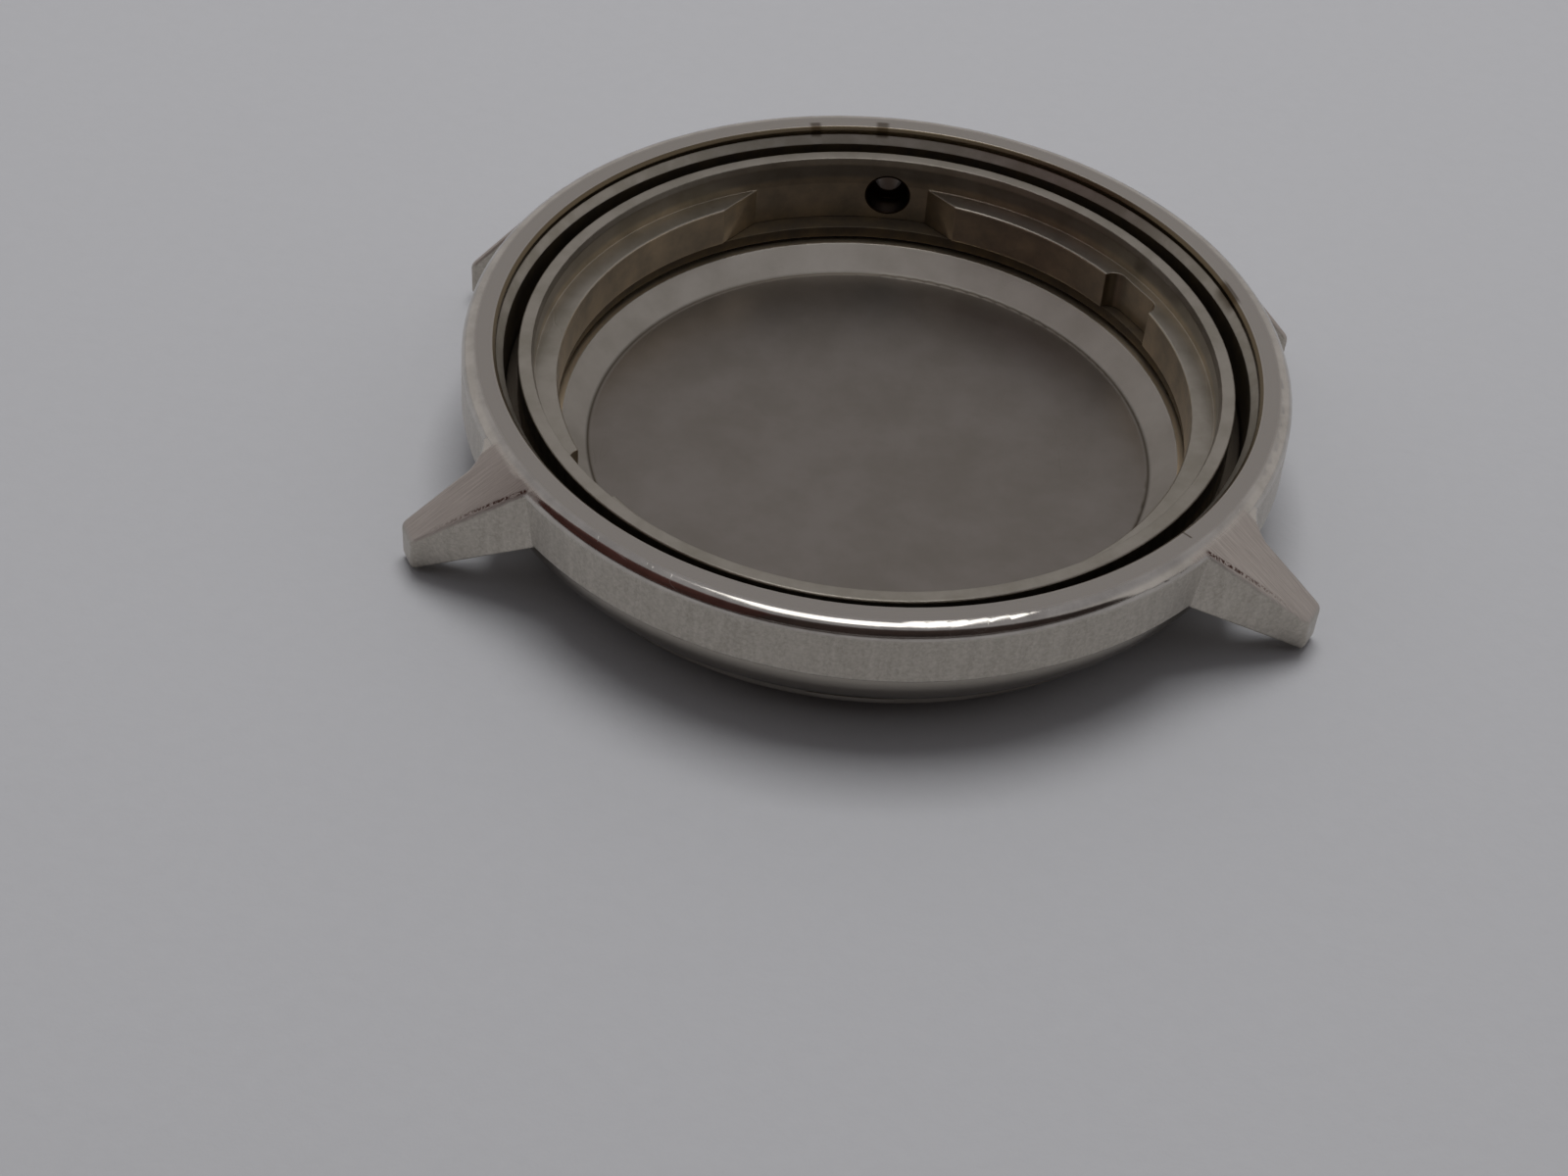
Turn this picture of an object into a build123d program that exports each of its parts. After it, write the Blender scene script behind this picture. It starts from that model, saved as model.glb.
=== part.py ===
from build123d import *
import math
import os

# Empty wristwatch case, lying on its back with the open dial side up.
# Millimetres, +Z up. The origin is on the case axis, in the plane that the back stands on.
# 12 o'clock is at -X, 6 o'clock at +X and the winding stem, 3 o'clock, at +Y.

# Heights, added up from the ground to the rim
back_thickness = 0.83
back_dish_depth = 0.96
gasket_gap = 0.19
flange_thickness = 0.5
seat_gap = 0.02
ring_ledge_height = 1.79
dial_recess_depth = 1.28
ring_drop = 0.68

back_floor_z = back_thickness
back_wall_top_z = back_floor_z + back_dish_depth
flange_bottom_z = back_wall_top_z + gasket_gap
flange_top_z = flange_bottom_z + flange_thickness
ring_bottom_z = flange_top_z + seat_gap
ring_ledge_z = ring_bottom_z + ring_ledge_height
ring_top_z = ring_ledge_z + dial_recess_depth
case_height = ring_top_z + ring_drop

# Rim and band of the case middle, from the outside inwards
band_diameter = 34.0
band_flare = 0.05
band_height = 2.56
rim_round_radius = 0.55
rim_flat_width = 0.7
rim_chamfer = 0.13
crystal_wall_height = 0.21
crystal_seat_width = 0.29
crystal_seat_drop = 0.33
collar_groove_width = 0.58
foot_bevel_width = 0.35
foot_bevel_height = 0.22
foot_bulge_share = 0.16

band_radius = band_diameter / 2
band_top_radius = band_radius - band_flare
rim_flat_radius = band_top_radius - rim_round_radius
rim_bore_radius = rim_flat_radius - rim_flat_width
crystal_wall_radius = rim_bore_radius - rim_chamfer
case_bore_radius = crystal_wall_radius - crystal_seat_width
band_top_z = case_height - rim_round_radius
band_foot_z = case_height - band_height
crystal_seat_z = case_height - rim_chamfer - crystal_wall_height

# Casing ring, which stands loose in the bore of the middle
ring_clearance = 0.07
ring_base_height = 1.1
collar_wall = 0.65
collar_chamfer_width = 0.1
collar_chamfer_height = 0.3
collar_edge_break = 0.05
dial_ledge_width = 0.95

ring_base_radius = case_bore_radius - ring_clearance
collar_radius = case_bore_radius - collar_groove_width
dial_bore_radius = collar_radius - collar_wall
movement_bore_radius = dial_bore_radius - dial_ledge_width
ring_base_top_z = ring_bottom_z + ring_base_height

# Pocket for the winding stem and the two pockets for the casing screws
stem_pocket_left = 5.9
stem_pocket_right = 1.8
stem_pocket_left_slant = 54.0
stem_pocket_right_slant = 43.0
screw_pocket_width = 3.1
screw_pocket_depth = 0.55
screw_pocket_corner = 0.6
screw_pocket_angle = 35.0
ring_stem_hole_radius = 0.95
stem_drop = 0.54
stem_z = ring_ledge_z - stem_drop

# Shelf inside the middle and the seat of the snap back below it
flange_setback = 0.1
flange_shoulder = 1.03
foot_land_width = 0.97
seam_gap = 0.05

flange_radius = movement_bore_radius + flange_setback
back_recess_radius = flange_radius + flange_shoulder
case_foot_radius = back_recess_radius + foot_land_width

# Snap back
back_snap_clearance = 0.03
back_bead_height = 0.15
back_bead_drop = 0.3
back_bevel_inset = 0.3
back_bevel_width = 1.05
back_floor_fillet = 0.35
back_edge_height = 1.2
back_edge_inset = 0.06
back_edge_side = 0.55
back_flat_share = 0.8
back_edge_round = 0.12
opener_width = 3.4
opener_depth = 0.5
opener_height = 0.34

back_bead_radius = back_recess_radius - back_snap_clearance
back_wall_radius = back_bead_radius - back_bead_height
back_bevel_radius = flange_radius - back_bevel_inset
back_floor_radius = back_bevel_radius - back_bevel_width
back_edge_radius = case_foot_radius - back_edge_inset
back_flat_radius = back_edge_radius * back_flat_share
case_foot_z = back_edge_height + seam_gap

# Gasket in its groove on top of the back's wall
gasket_width = 0.4
gasket_lip = 0.25
gasket_groove_depth = 0.25
gasket_side_play = 0.02
gasket_squeeze_gap = 0.02
gasket_crown = 0.1

gasket_middle_radius = back_wall_radius - gasket_lip - gasket_width / 2
gasket_inner_radius = gasket_middle_radius - gasket_width / 2
gasket_outer_radius = gasket_middle_radius + gasket_width / 2
gasket_bottom_z = back_wall_top_z - gasket_groove_depth
gasket_top_z = flange_bottom_z - gasket_squeeze_gap

# Lugs
strap_gap = 17.0
lug_reach = 3.22
lug_tip_thickness = 1.0
lug_root_thickness = 2.9
lug_side_angle = 19.9
lug_underside_angle = 33.8
lug_nose_height = 1.77
lug_crown_sink = 0.005
lug_ground_gap = 0.12
lug_tip_lean = 0.18
lug_lean_rate = 0.065
lug_nose_radius = 0.6
lug_toe_radius = 0.3
lug_root_fillet = 0.45
lug_edge_round = 0.2

lug_tip_radius = band_radius + lug_reach
lug_tip_x = math.sqrt(lug_tip_radius ** 2 - (strap_gap / 2 + lug_tip_thickness) ** 2)

# Blind holes for the spring bars
spring_bar_hole_radius = 0.5
spring_bar_hole_depth = 0.8
spring_bar_inset = 1.37
spring_bar_height = 1.75

# Tube for the winding stem
tube_radius = 1.0
tube_bore_radius = 0.6
tube_recess = 0.05
tube_mouth_chamfer = 0.12

# How far a cutting shape runs past what it cuts, and how close counts as the same place
overrun = 1.0
touch = 0.001


def turned(draw_profile):
    """Turn a closed profile of radius and height about the case axis."""
    with BuildPart() as piece:
        with BuildSketch(Plane.XZ):
            with BuildLine():
                draw_profile()
            make_face()
        revolve(axis=Axis.Z)
    return piece.part


def upright(outline, bottom_z, top_z):
    """Pull a plan outline up between two heights."""
    return extrude(Pos(0, 0, bottom_z) * outline, top_z - bottom_z)


def bulged(start, end, share):
    """Arc from start to end that stands off its chord, on the left, by a share of its length."""
    middle_x = (start[0] + end[0]) / 2
    middle_z = (start[1] + end[1]) / 2
    offset_x = (start[1] - end[1]) * share
    offset_z = (end[0] - start[0]) * share
    return ThreePointArc(start, (middle_x + offset_x, middle_z + offset_z), end)


def corner_near(sketch, radius, height):
    """The corner of a profile being drawn that lies closest to a radius and a height."""
    return sketch.vertices().sort_by_distance((radius, height, 0))[0]


# Case middle

def middle_profile():
    round_start = (rim_flat_radius, case_height)
    round_end = (band_top_radius, band_top_z)
    foot_start = (band_radius - foot_bevel_width, band_foot_z - foot_bevel_height)
    foot_end = (case_foot_radius, case_foot_z)
    Polyline(
        (flange_radius, flange_bottom_z),
        (flange_radius, flange_top_z),
        (case_bore_radius, flange_top_z),
        (case_bore_radius, crystal_seat_z - crystal_seat_drop),
        (crystal_wall_radius, crystal_seat_z),
        (crystal_wall_radius, case_height - rim_chamfer),
        (rim_bore_radius, case_height),
        round_start,
    )
    RadiusArc(round_start, round_end, rim_round_radius)
    Polyline(round_end, (band_radius, band_foot_z), foot_start)
    bulged(foot_start, foot_end, foot_bulge_share)
    Polyline(
        foot_end,
        (back_recess_radius, case_foot_z),
        (back_recess_radius, flange_bottom_z),
        (flange_radius, flange_bottom_z),
    )


def on_circle(radius, across):
    """The other coordinate of a point on a circle."""
    return math.sqrt(radius * radius - across * across)


def lug_root_radius():
    """Radius, inside the wall of the middle, where the lugs' solids begin."""
    return (case_bore_radius + rim_flat_radius) / 2


def lug_crown_start():
    """Where the line from the nose of the lugs passes just under the rounding of the rim."""
    across = lug_tip_radius - rim_flat_radius
    down = lug_nose_height - band_top_z
    reach = math.hypot(across, down)
    sunk_radius = rim_round_radius - lug_crown_sink
    turn = math.atan2(down, across) + math.acos(sunk_radius / reach)
    return (
        rim_flat_radius + sunk_radius * math.cos(turn),
        band_top_z + sunk_radius * math.sin(turn),
    )


def lug_crown_profile():
    """Section that the lugs share where the case is turned: cone, end and foot.

    Inside the wall of the middle it stays below the rounding of the rim.
    """
    cone_start = lug_crown_start()
    Polyline(
        cone_start,
        (lug_tip_radius, lug_nose_height),
        (lug_tip_radius, lug_ground_gap),
        (lug_root_radius(), lug_ground_gap),
        (lug_root_radius(), cone_start[1]),
        cone_start,
    )


def lug_crown():
    with BuildPart() as piece:
        with BuildSketch(Plane.XZ) as sketch:
            with BuildLine():
                lug_crown_profile()
            make_face()
            fillet(corner_near(sketch, lug_tip_radius, lug_nose_height), lug_nose_radius)
            fillet(corner_near(sketch, lug_tip_radius, lug_ground_gap), lug_toe_radius)
        revolve(axis=Axis.Z)
    return piece.part


def lug_section(x):
    """Section of the lug blade across its length: upright inside, leaning a little outside."""
    inner_y = strap_gap / 2
    back = lug_tip_x - x
    low_y = inner_y + lug_tip_thickness + back * math.tan(math.radians(lug_side_angle))
    low_z = lug_ground_gap + back * math.tan(math.radians(lug_underside_angle))
    lean = lug_tip_lean - lug_lean_rate * back
    high_y = low_y + lean * case_height
    high_z = low_z + case_height
    with BuildSketch(Plane.YZ.offset(x)) as sketch:
        with BuildLine():
            Polyline(
                (inner_y, low_z),
                (low_y, low_z),
                (high_y, high_z),
                (inner_y, high_z),
                (inner_y, low_z),
            )
        make_face()
    return sketch.sketch


def lug_blade():
    """Blade whose outer side twists slowly, from leaning in at the band to leaning out at the tip."""
    root_x = on_circle(lug_root_radius(), strap_gap / 2 + lug_root_thickness)
    far_x = lug_tip_x + lug_tip_thickness
    return loft([lug_section(root_x), lug_section(far_x)], ruled=True)


def lug_web_outline():
    """Plan of the rounded web that joins the lug's inner face to the band."""
    inner_y = strap_gap / 2
    centre_y = inner_y - lug_root_fillet
    centre_x = on_circle(band_radius + lug_root_fillet, centre_y)
    touch_share = band_radius / (band_radius + lug_root_fillet)
    touch = (centre_x * touch_share, centre_y * touch_share)
    arc_end = (centre_x, inner_y)
    blade_y = inner_y + lug_tip_thickness / 2
    root_x = on_circle(lug_root_radius(), blade_y)
    with BuildSketch() as sketch:
        with BuildLine():
            RadiusArc(touch, arc_end, lug_root_fillet)
            Polyline(arc_end, (centre_x, blade_y), (root_x, blade_y), touch)
        make_face()
    return sketch.sketch


def lug_side_view():
    """Everything above the sloping underside of the lugs, seen along Y."""
    slope = math.tan(math.radians(lug_underside_angle))
    high_x = lug_tip_x - case_height / slope
    far_x = lug_tip_radius + overrun
    top_z = case_height + overrun
    with BuildSketch(Plane.XZ) as sketch:
        with BuildLine():
            Polyline(
                (lug_tip_x, lug_ground_gap),
                (far_x, lug_ground_gap - (far_x - lug_tip_x) * slope),
                (far_x, top_z),
                (high_x, top_z),
                (high_x, lug_ground_gap + case_height),
                (lug_tip_x, lug_ground_gap),
            )
        make_face()
    return sketch.sketch


def spring_bar_hole():
    """Blind hole in the inner face of the lug in the +X +Y quarter."""
    inner_y = strap_gap / 2
    hole_x = on_circle(lug_tip_radius, inner_y) - spring_bar_inset
    length = spring_bar_hole_depth + overrun
    hole = Cylinder(spring_bar_hole_radius, length, rotation=(90, 0, 0))
    return Pos(hole_x, inner_y + spring_bar_hole_depth - length / 2, spring_bar_height) * hole


def on_lug_crown(point):
    start_radius, start_z = lug_crown_start()
    slope = (start_z - lug_nose_height) / (lug_tip_radius - start_radius)
    crown_z = start_z - (math.hypot(point.X, point.Y) - start_radius) * slope
    return abs(crown_z - point.Z) < touch


def runs_down_lug(edge):
    """True for an edge of the blade that falls along the crown towards the nose."""
    high, low = edge @ 0, edge @ 1
    beside_blade = min(high.Y, low.Y) > strap_gap / 2 - touch
    falls = abs(high.Z - low.Z) > touch
    return beside_blade and falls and on_lug_crown(high) and on_lug_crown(low)


def one_lug():
    web = upright(lug_web_outline(), -overrun, case_height + overrun)
    web = web & extrude(lug_side_view(), lug_tip_radius, both=True)
    lug = lug_crown() & (lug_blade() + web)
    lug = fillet([edge for edge in lug.edges() if runs_down_lug(edge)], lug_edge_round)
    return lug - spring_bar_hole()


def stem_bore(radius, start_y, end_y):
    """Straight round bar along the stem axis at 3 o'clock."""
    bar = Cylinder(radius, end_y - start_y, rotation=(90, 0, 0))
    return Pos(0, (start_y + end_y) / 2, stem_z) * bar


def make_case_middle():
    lug = one_lug()
    middle = turned(middle_profile)
    pair = lug + mirror(lug, about=Plane.XZ)
    middle = middle + pair + mirror(pair, about=Plane.YZ)
    return middle - stem_bore(tube_radius, movement_bore_radius, band_radius + overrun)


# Casing ring

def ring_profile():
    Polyline(
        (movement_bore_radius, ring_bottom_z),
        (movement_bore_radius, ring_ledge_z - collar_edge_break),
        (movement_bore_radius + collar_edge_break, ring_ledge_z),
        (dial_bore_radius, ring_ledge_z),
        (dial_bore_radius, ring_top_z - collar_chamfer_height),
        (dial_bore_radius + collar_chamfer_width, ring_top_z),
        (collar_radius - collar_edge_break, ring_top_z),
        (collar_radius, ring_top_z - collar_edge_break),
        (collar_radius, ring_base_top_z),
        (ring_base_radius, ring_base_top_z),
        (ring_base_radius, ring_bottom_z),
        (movement_bore_radius, ring_bottom_z),
    )


def stem_pocket_outline():
    """Plan of the milled pocket beside the stem, bounded outside by the dial bore.

    Its slanted ends run on towards the axis, well past the movement bore.
    """
    run = movement_bore_radius / 2
    left_run = run / math.tan(math.radians(stem_pocket_left_slant))
    right_run = run / math.tan(math.radians(stem_pocket_right_slant))
    left_y = on_circle(dial_bore_radius, stem_pocket_left)
    right_y = on_circle(dial_bore_radius, stem_pocket_right)
    top_y = dial_bore_radius + overrun
    with BuildSketch() as sketch:
        Circle(dial_bore_radius)
        with BuildSketch(mode=Mode.INTERSECT):
            with BuildLine():
                Polyline(
                    (-stem_pocket_left, top_y),
                    (-stem_pocket_left, left_y),
                    (-stem_pocket_left - left_run, left_y - run),
                    (stem_pocket_right + right_run, right_y - run),
                    (stem_pocket_right, right_y),
                    (stem_pocket_right, top_y),
                    (-stem_pocket_left, top_y),
                )
            make_face()
    return sketch.sketch


def screw_pocket_outline(angle):
    """Plan of one casing-screw pocket, a rounded notch in the dial ledge."""
    outer_radius = movement_bore_radius + screw_pocket_depth
    length = screw_pocket_width
    notch = RectangleRounded(length, screw_pocket_width, screw_pocket_corner)
    return Rot(0, 0, angle) * Pos(outer_radius - length / 2, 0) * notch


def make_casing_ring():
    ring = turned(ring_profile)
    bottom = ring_bottom_z - overrun
    ring -= upright(stem_pocket_outline(), bottom, ring_ledge_z + seat_gap)
    for angle in (screw_pocket_angle, screw_pocket_angle + 180):
        ring -= upright(screw_pocket_outline(angle), bottom, ring_ledge_z + seat_gap)
    return ring - stem_bore(ring_stem_hole_radius, movement_bore_radius, case_bore_radius + overrun)


# Snap back

def back_profile():
    bead_z = back_wall_top_z - back_bead_drop
    bead_top = (back_bead_radius, bead_z)
    bead_start = (back_wall_radius, bead_z + back_bead_height)
    bead_end = (back_wall_radius, bead_z - back_bead_height)
    Polyline(
        (0, 0),
        (0, back_floor_z),
        (back_floor_radius, back_floor_z),
        (back_bevel_radius, back_wall_top_z),
        (gasket_inner_radius - gasket_side_play, back_wall_top_z),
        (gasket_inner_radius - gasket_side_play, gasket_bottom_z),
        (gasket_outer_radius + gasket_side_play, gasket_bottom_z),
        (gasket_outer_radius + gasket_side_play, back_wall_top_z),
        (back_wall_radius, back_wall_top_z),
        bead_start,
    )
    ThreePointArc(bead_start, bead_top, bead_end)
    Polyline(
        bead_end,
        (back_wall_radius, back_edge_height),
        (back_edge_radius, back_edge_height),
        (back_edge_radius, back_edge_height - back_edge_side),
        (back_flat_radius, 0),
        (0, 0),
    )


def make_case_back():
    with BuildPart() as piece:
        with BuildSketch(Plane.XZ) as sketch:
            with BuildLine():
                back_profile()
            make_face()
            fillet(corner_near(sketch, back_floor_radius, back_floor_z), back_floor_fillet)
            fillet(corner_near(sketch, back_edge_radius, back_edge_height), back_edge_round)
        revolve(axis=Axis.Z)
    opener = Box(opener_width, opener_depth * 2, opener_height * 2)
    return piece.part - Pos(0, -back_edge_radius, back_edge_height) * opener


def gasket_profile():
    crown_start = (gasket_inner_radius, gasket_top_z - gasket_crown)
    crown_end = (gasket_outer_radius, gasket_top_z - gasket_crown)
    Polyline(
        crown_start,
        (gasket_inner_radius, gasket_bottom_z),
        (gasket_outer_radius, gasket_bottom_z),
        crown_end,
    )
    ThreePointArc(crown_end, (gasket_middle_radius, gasket_top_z), crown_start)


def make_stem_tube():
    start_y = case_bore_radius + tube_recess
    end_y = band_radius - tube_recess
    tube = stem_bore(tube_radius, start_y, end_y)
    tube -= stem_bore(tube_bore_radius, start_y - overrun, end_y + overrun)
    mouth = tube.edges().filter_by(GeomType.CIRCLE).sort_by(Axis.Y)[-2:]
    return chamfer(mouth.sort_by(SortBy.RADIUS)[0], tube_mouth_chamfer)


nodes = {
    "case_middle": make_case_middle(),
    "casing_ring": make_casing_ring(),
    "case_back": make_case_back(),
    "back_gasket": turned(gasket_profile),
    "stem_tube": make_stem_tube(),
}

os.makedirs("parts", exist_ok=True)
for name, solid in nodes.items():
    export_step(solid, f"parts/{name}.step")
    print(name, "volume", round(solid.volume, 2), "box", solid.bounding_box())
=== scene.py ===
# %% [markdown]
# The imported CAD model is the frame, and its five pieces already have their real
# shapes. They could be modelled again in Blender, but then the two models would
# drift apart. So each piece stays as it is and only takes a finish. Every place
# below is in metres in the frame, so a finish can follow a radius or a height.

# %% Load the frame
from math import cos, radians, sin

import bpy
from mathutils import Matrix, Vector


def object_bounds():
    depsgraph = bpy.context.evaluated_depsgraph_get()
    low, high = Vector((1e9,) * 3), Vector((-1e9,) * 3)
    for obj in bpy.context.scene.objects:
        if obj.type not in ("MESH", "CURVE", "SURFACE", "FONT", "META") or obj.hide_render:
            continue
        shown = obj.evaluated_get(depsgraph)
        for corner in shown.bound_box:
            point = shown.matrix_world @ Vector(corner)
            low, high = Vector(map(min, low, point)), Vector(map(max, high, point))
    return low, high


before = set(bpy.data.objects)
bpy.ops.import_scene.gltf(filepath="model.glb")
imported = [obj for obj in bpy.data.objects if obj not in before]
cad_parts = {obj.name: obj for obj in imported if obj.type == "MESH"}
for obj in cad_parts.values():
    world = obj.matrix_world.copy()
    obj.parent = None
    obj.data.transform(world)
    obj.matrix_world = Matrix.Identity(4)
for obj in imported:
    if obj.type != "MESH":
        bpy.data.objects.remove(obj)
cad_low, cad_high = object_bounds()
print("nodes:", sorted(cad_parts))
print("CAD box in mm:", [round(side * 1000, 2) for side in cad_high - cad_low])

# %% [markdown]
# A watch case is one piece of steel with zones that are finished differently, and
# a zone ends where the form turns. The zones could be painted into an image, but
# an image has a fixed sharpness and needs an unwrapped mesh. Radii and heights of
# the form need neither. These say where the rim's flat ends, where its rounding
# meets the band, where each lug begins and where the ridge on its top runs.

# %% Sizes of the case middle
MM = 0.001
HAIR = 0.01 * MM  # the unit for soft borders and small overlaps
CASE_TOP = cad_high.z
RIM_FLAT_INNER = 15.70 * MM
RIM_FLAT_OUTER = 16.40 * MM
BAND_RADIUS = 17.0 * MM
BAND_TOP = 5.70 * MM
BAND_FOOT = 3.69 * MM
CRYSTAL_SEAT_TOP = 5.91 * MM
CRYSTAL_SEAT_FOOT = 5.58 * MM
CASE_BORE = 15.28 * MM
LUG_CREASE = 16.72 * MM
LUG_ROOT_X = 12.2 * MM
LUG_INNER_Y = 8.4 * MM
LUG_OUTER_Y = 11.6 * MM
RIDGE_START_X = 13.0 * MM
RIDGE_START_Y = 10.9 * MM
RIDGE_SLOPE = 0.2375
print("rim flat in mm:", [round(radius / MM, 2) for radius in (RIM_FLAT_INNER, RIM_FLAT_OUTER)])
print("band in mm:", [round(height / MM, 2) for height in (BAND_FOOT, BAND_TOP)])

# %% [markdown]
# A finish is a graph of shader nodes. It could be drawn by hand in the editor,
# but in code every step has a name and can be used again. The first helpers add a
# node with its settings, feed a socket with a value or a link, and do sums.

# %% Nodes and sums
def add(tree, kind, **settings):
    made = tree.nodes.new(kind)
    for name, value in settings.items():
        setattr(made, name, value)
    return made


def feed(tree, socket, value):
    if isinstance(value, bpy.types.NodeSocket):
        tree.links.new(value, socket)
    else:
        socket.default_value = value


def maths(tree, operation, first, second=0.0):
    made = add(tree, "ShaderNodeMath", operation=operation)
    feed(tree, made.inputs[0], first)
    feed(tree, made.inputs[1], second)
    return made.outputs[0]


def scaled(tree, value, factor):
    return maths(tree, "MULTIPLY", value, factor)


def pack_vector(tree, x, y, z):
    made = add(tree, "ShaderNodeCombineXYZ")
    for socket, value in zip(made.inputs, (x, y, z)):
        feed(tree, socket, value)
    return made.outputs[0]

# %% [markdown]
# A mask is 1 inside a zone and 0 outside it. Its border is soft, because a
# finisher's wheel never stops on a line. One mask is multiplied by another to cut
# a zone down, and a mix lays one value or colour over another where a mask says.

# %% Masks and mixes
def rise(tree, value, start, end):
    """0 before start, 1 after end, smooth between; start may lie above end."""
    made = add(tree, "ShaderNodeMapRange", interpolation_type="SMOOTHSTEP")
    feed(tree, made.inputs["Value"], value)
    made.inputs["From Min"].default_value = start
    made.inputs["From Max"].default_value = end
    return made.outputs["Result"]


def within(tree, value, low, high, soft=HAIR):
    above = rise(tree, value, low - soft, low + soft)
    below = rise(tree, value, high + soft, high - soft)
    return maths(tree, "MULTIPLY", above, below)


def both(tree, *masks):
    result = masks[0]
    for mask in masks[1:]:
        result = maths(tree, "MULTIPLY", result, mask)
    return result


def blend_value(tree, mask, start, end):
    made = add(tree, "ShaderNodeMix", data_type="FLOAT")
    feed(tree, made.inputs[0], mask)
    feed(tree, made.inputs[2], start)
    feed(tree, made.inputs[3], end)
    return made.outputs[0]


def blend_colour(tree, mask, start, end):
    made = add(tree, "ShaderNodeMix", data_type="RGBA")
    feed(tree, made.inputs[0], mask)
    feed(tree, made.inputs[6], start)
    feed(tree, made.inputs[7], end)
    return made.outputs[2]

# %% [markdown]
# A photo shows colours as a screen writes them, but a shader wants linear light.
# Blender's colour picker turns one into the other, and this does the same: a
# colour is written as three shares of a screen's white. A metal's colour is how
# much light it throws back, so it is brighter than the steel looks in a dim room.

# %% Colours of plain steel
def screen(red, green, blue):
    def to_linear(share):
        if share <= 0.04045:
            return share / 12.92
        return ((share + 0.055) / 1.055) ** 2.4
    return (to_linear(red), to_linear(green), to_linear(blue), 1.0)


BARE_STEEL = screen(0.72, 0.70, 0.67)
BRIGHT_STEEL = screen(0.80, 0.78, 0.75)
WARM_STEEL = screen(0.67, 0.645, 0.605)
print("bare steel, linear:", [round(value, 3) for value in BARE_STEEL[:3]])

# %% [markdown]
# The case was turned on a lathe, so most finishes go by the distance from its
# axis. The Object coordinates give a point's place in the frame, and their normal
# the way that the surface faces. From both comes all that the masks ask for.

# %% Place
class Place:
    """Where a point is: its radius, height and turn about the case's axis."""

    def __init__(self, tree):
        source = add(tree, "ShaderNodeTexCoord")
        parts = add(tree, "ShaderNodeSeparateXYZ")
        feed(tree, parts.inputs[0], source.outputs["Object"])
        facing = add(tree, "ShaderNodeSeparateXYZ")
        feed(tree, facing.inputs[0], source.outputs["Normal"])
        self.point = source.outputs["Object"]
        self.x, self.y, self.z = parts.outputs
        self.up = facing.outputs[2]
        self.side_x = maths(tree, "ABSOLUTE", self.x)
        self.side_y = maths(tree, "ABSOLUTE", self.y)
        square = maths(tree, "MULTIPLY", self.x, self.x)
        square = maths(tree, "ADD", square, maths(tree, "MULTIPLY", self.y, self.y))
        self.radius = maths(tree, "SQRT", square)
        self.cosine = maths(tree, "DIVIDE", self.x, self.radius)
        self.sine = maths(tree, "DIVIDE", self.y, self.radius)
        across = maths(tree, "MULTIPLY", facing.outputs[0], self.cosine)
        along = maths(tree, "MULTIPLY", facing.outputs[1], self.sine)
        self.outward = maths(tree, "ABSOLUTE", maths(tree, "ADD", across, along))

# %% [markdown]
# Age clouds a surface in soft patches, and blasting leaves it gritty. Both are
# noise read at the point itself. A patch's width is written as a real size, so
# the same noise serves for a cloud of a millimetre and for a speck of a tenth.

# %% Patches
def noise(tree, spot, scale, detail=3.0, roughness=0.5, distortion=0.0):
    made = add(tree, "ShaderNodeTexNoise")
    feed(tree, made.inputs["Vector"], spot)
    made.inputs["Scale"].default_value = scale
    made.inputs["Detail"].default_value = detail
    made.inputs["Roughness"].default_value = roughness
    made.inputs["Distortion"].default_value = distortion
    return made.outputs["Fac"]


def patches(tree, place, width, detail=4.0, roughness=0.6, distortion=0.0):
    return noise(tree, place.point, 1.0 / width, detail, roughness, distortion)


def clouded(tree, cloud, start, end, clear, dull):
    """One colour that turns into another between two levels of a cloud."""
    return blend_colour(tree, rise(tree, cloud, start, end), clear, dull)

# %% [markdown]
# Tools leave a grain. An angle would give it a seam where the circle closes, so
# the noise is read at the turn's cosine and sine. A small share of them against a
# large one of radius and height draws it out into the rings of a lathe. With a
# large share it stands upright on the band. A lug is brushed along its length, so
# there it is drawn out along X.

# %% Grains
TONES_ALONG_A_RING = 3.0


def turned_grain(tree, place, line_width):
    """Rings round the axis, whose tone changes slowly along each ring."""
    fine = 1.0 / line_width
    across = maths(tree, "ADD", scaled(tree, place.radius, fine), scaled(tree, place.z, fine))
    cosine = scaled(tree, place.cosine, TONES_ALONG_A_RING)
    sine = scaled(tree, place.sine, TONES_ALONG_A_RING)
    spot = pack_vector(tree, cosine, sine, across)
    return noise(tree, spot, scale=1.0, detail=4.0, roughness=0.6)


def upright_grain(tree, place, line_width, length):
    """Marks that run up and down the band, side by side round the case."""
    count = BAND_RADIUS / line_width
    cosine = scaled(tree, place.cosine, count)
    sine = scaled(tree, place.sine, count)
    rising = scaled(tree, place.z, 1.0 / length)
    spot = pack_vector(tree, cosine, sine, rising)
    return noise(tree, spot, scale=1.0, detail=3.0, roughness=0.6)


def brushed_grain(tree, place, line_width, length):
    """Hair lines along X, as a lug is brushed."""
    along = scaled(tree, place.x, 1.0 / length)
    across = scaled(tree, place.y, 1.0 / line_width)
    rising = scaled(tree, place.z, 1.0 / length)
    spot = pack_vector(tree, along, across, rising)
    return noise(tree, spot, scale=1.0, detail=4.0, roughness=0.65)

# %% [markdown]
# Wear adds stray hair lines. Each could be a curve on the surface, but there are
# too many. Where a slow noise crosses its middle value it draws a thin winding
# line, and stretched along one axis that line looks like a scratch. A second noise
# breaks the lines up.

# %% Scratches
SCRATCH_STRETCH = 0.16
SCRATCH_TILT = (0.3, 0.2)  # radians about X and Y
GAP_START, GAP_END = 0.5, 0.62  # levels of the noise that breaks the lines up


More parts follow.
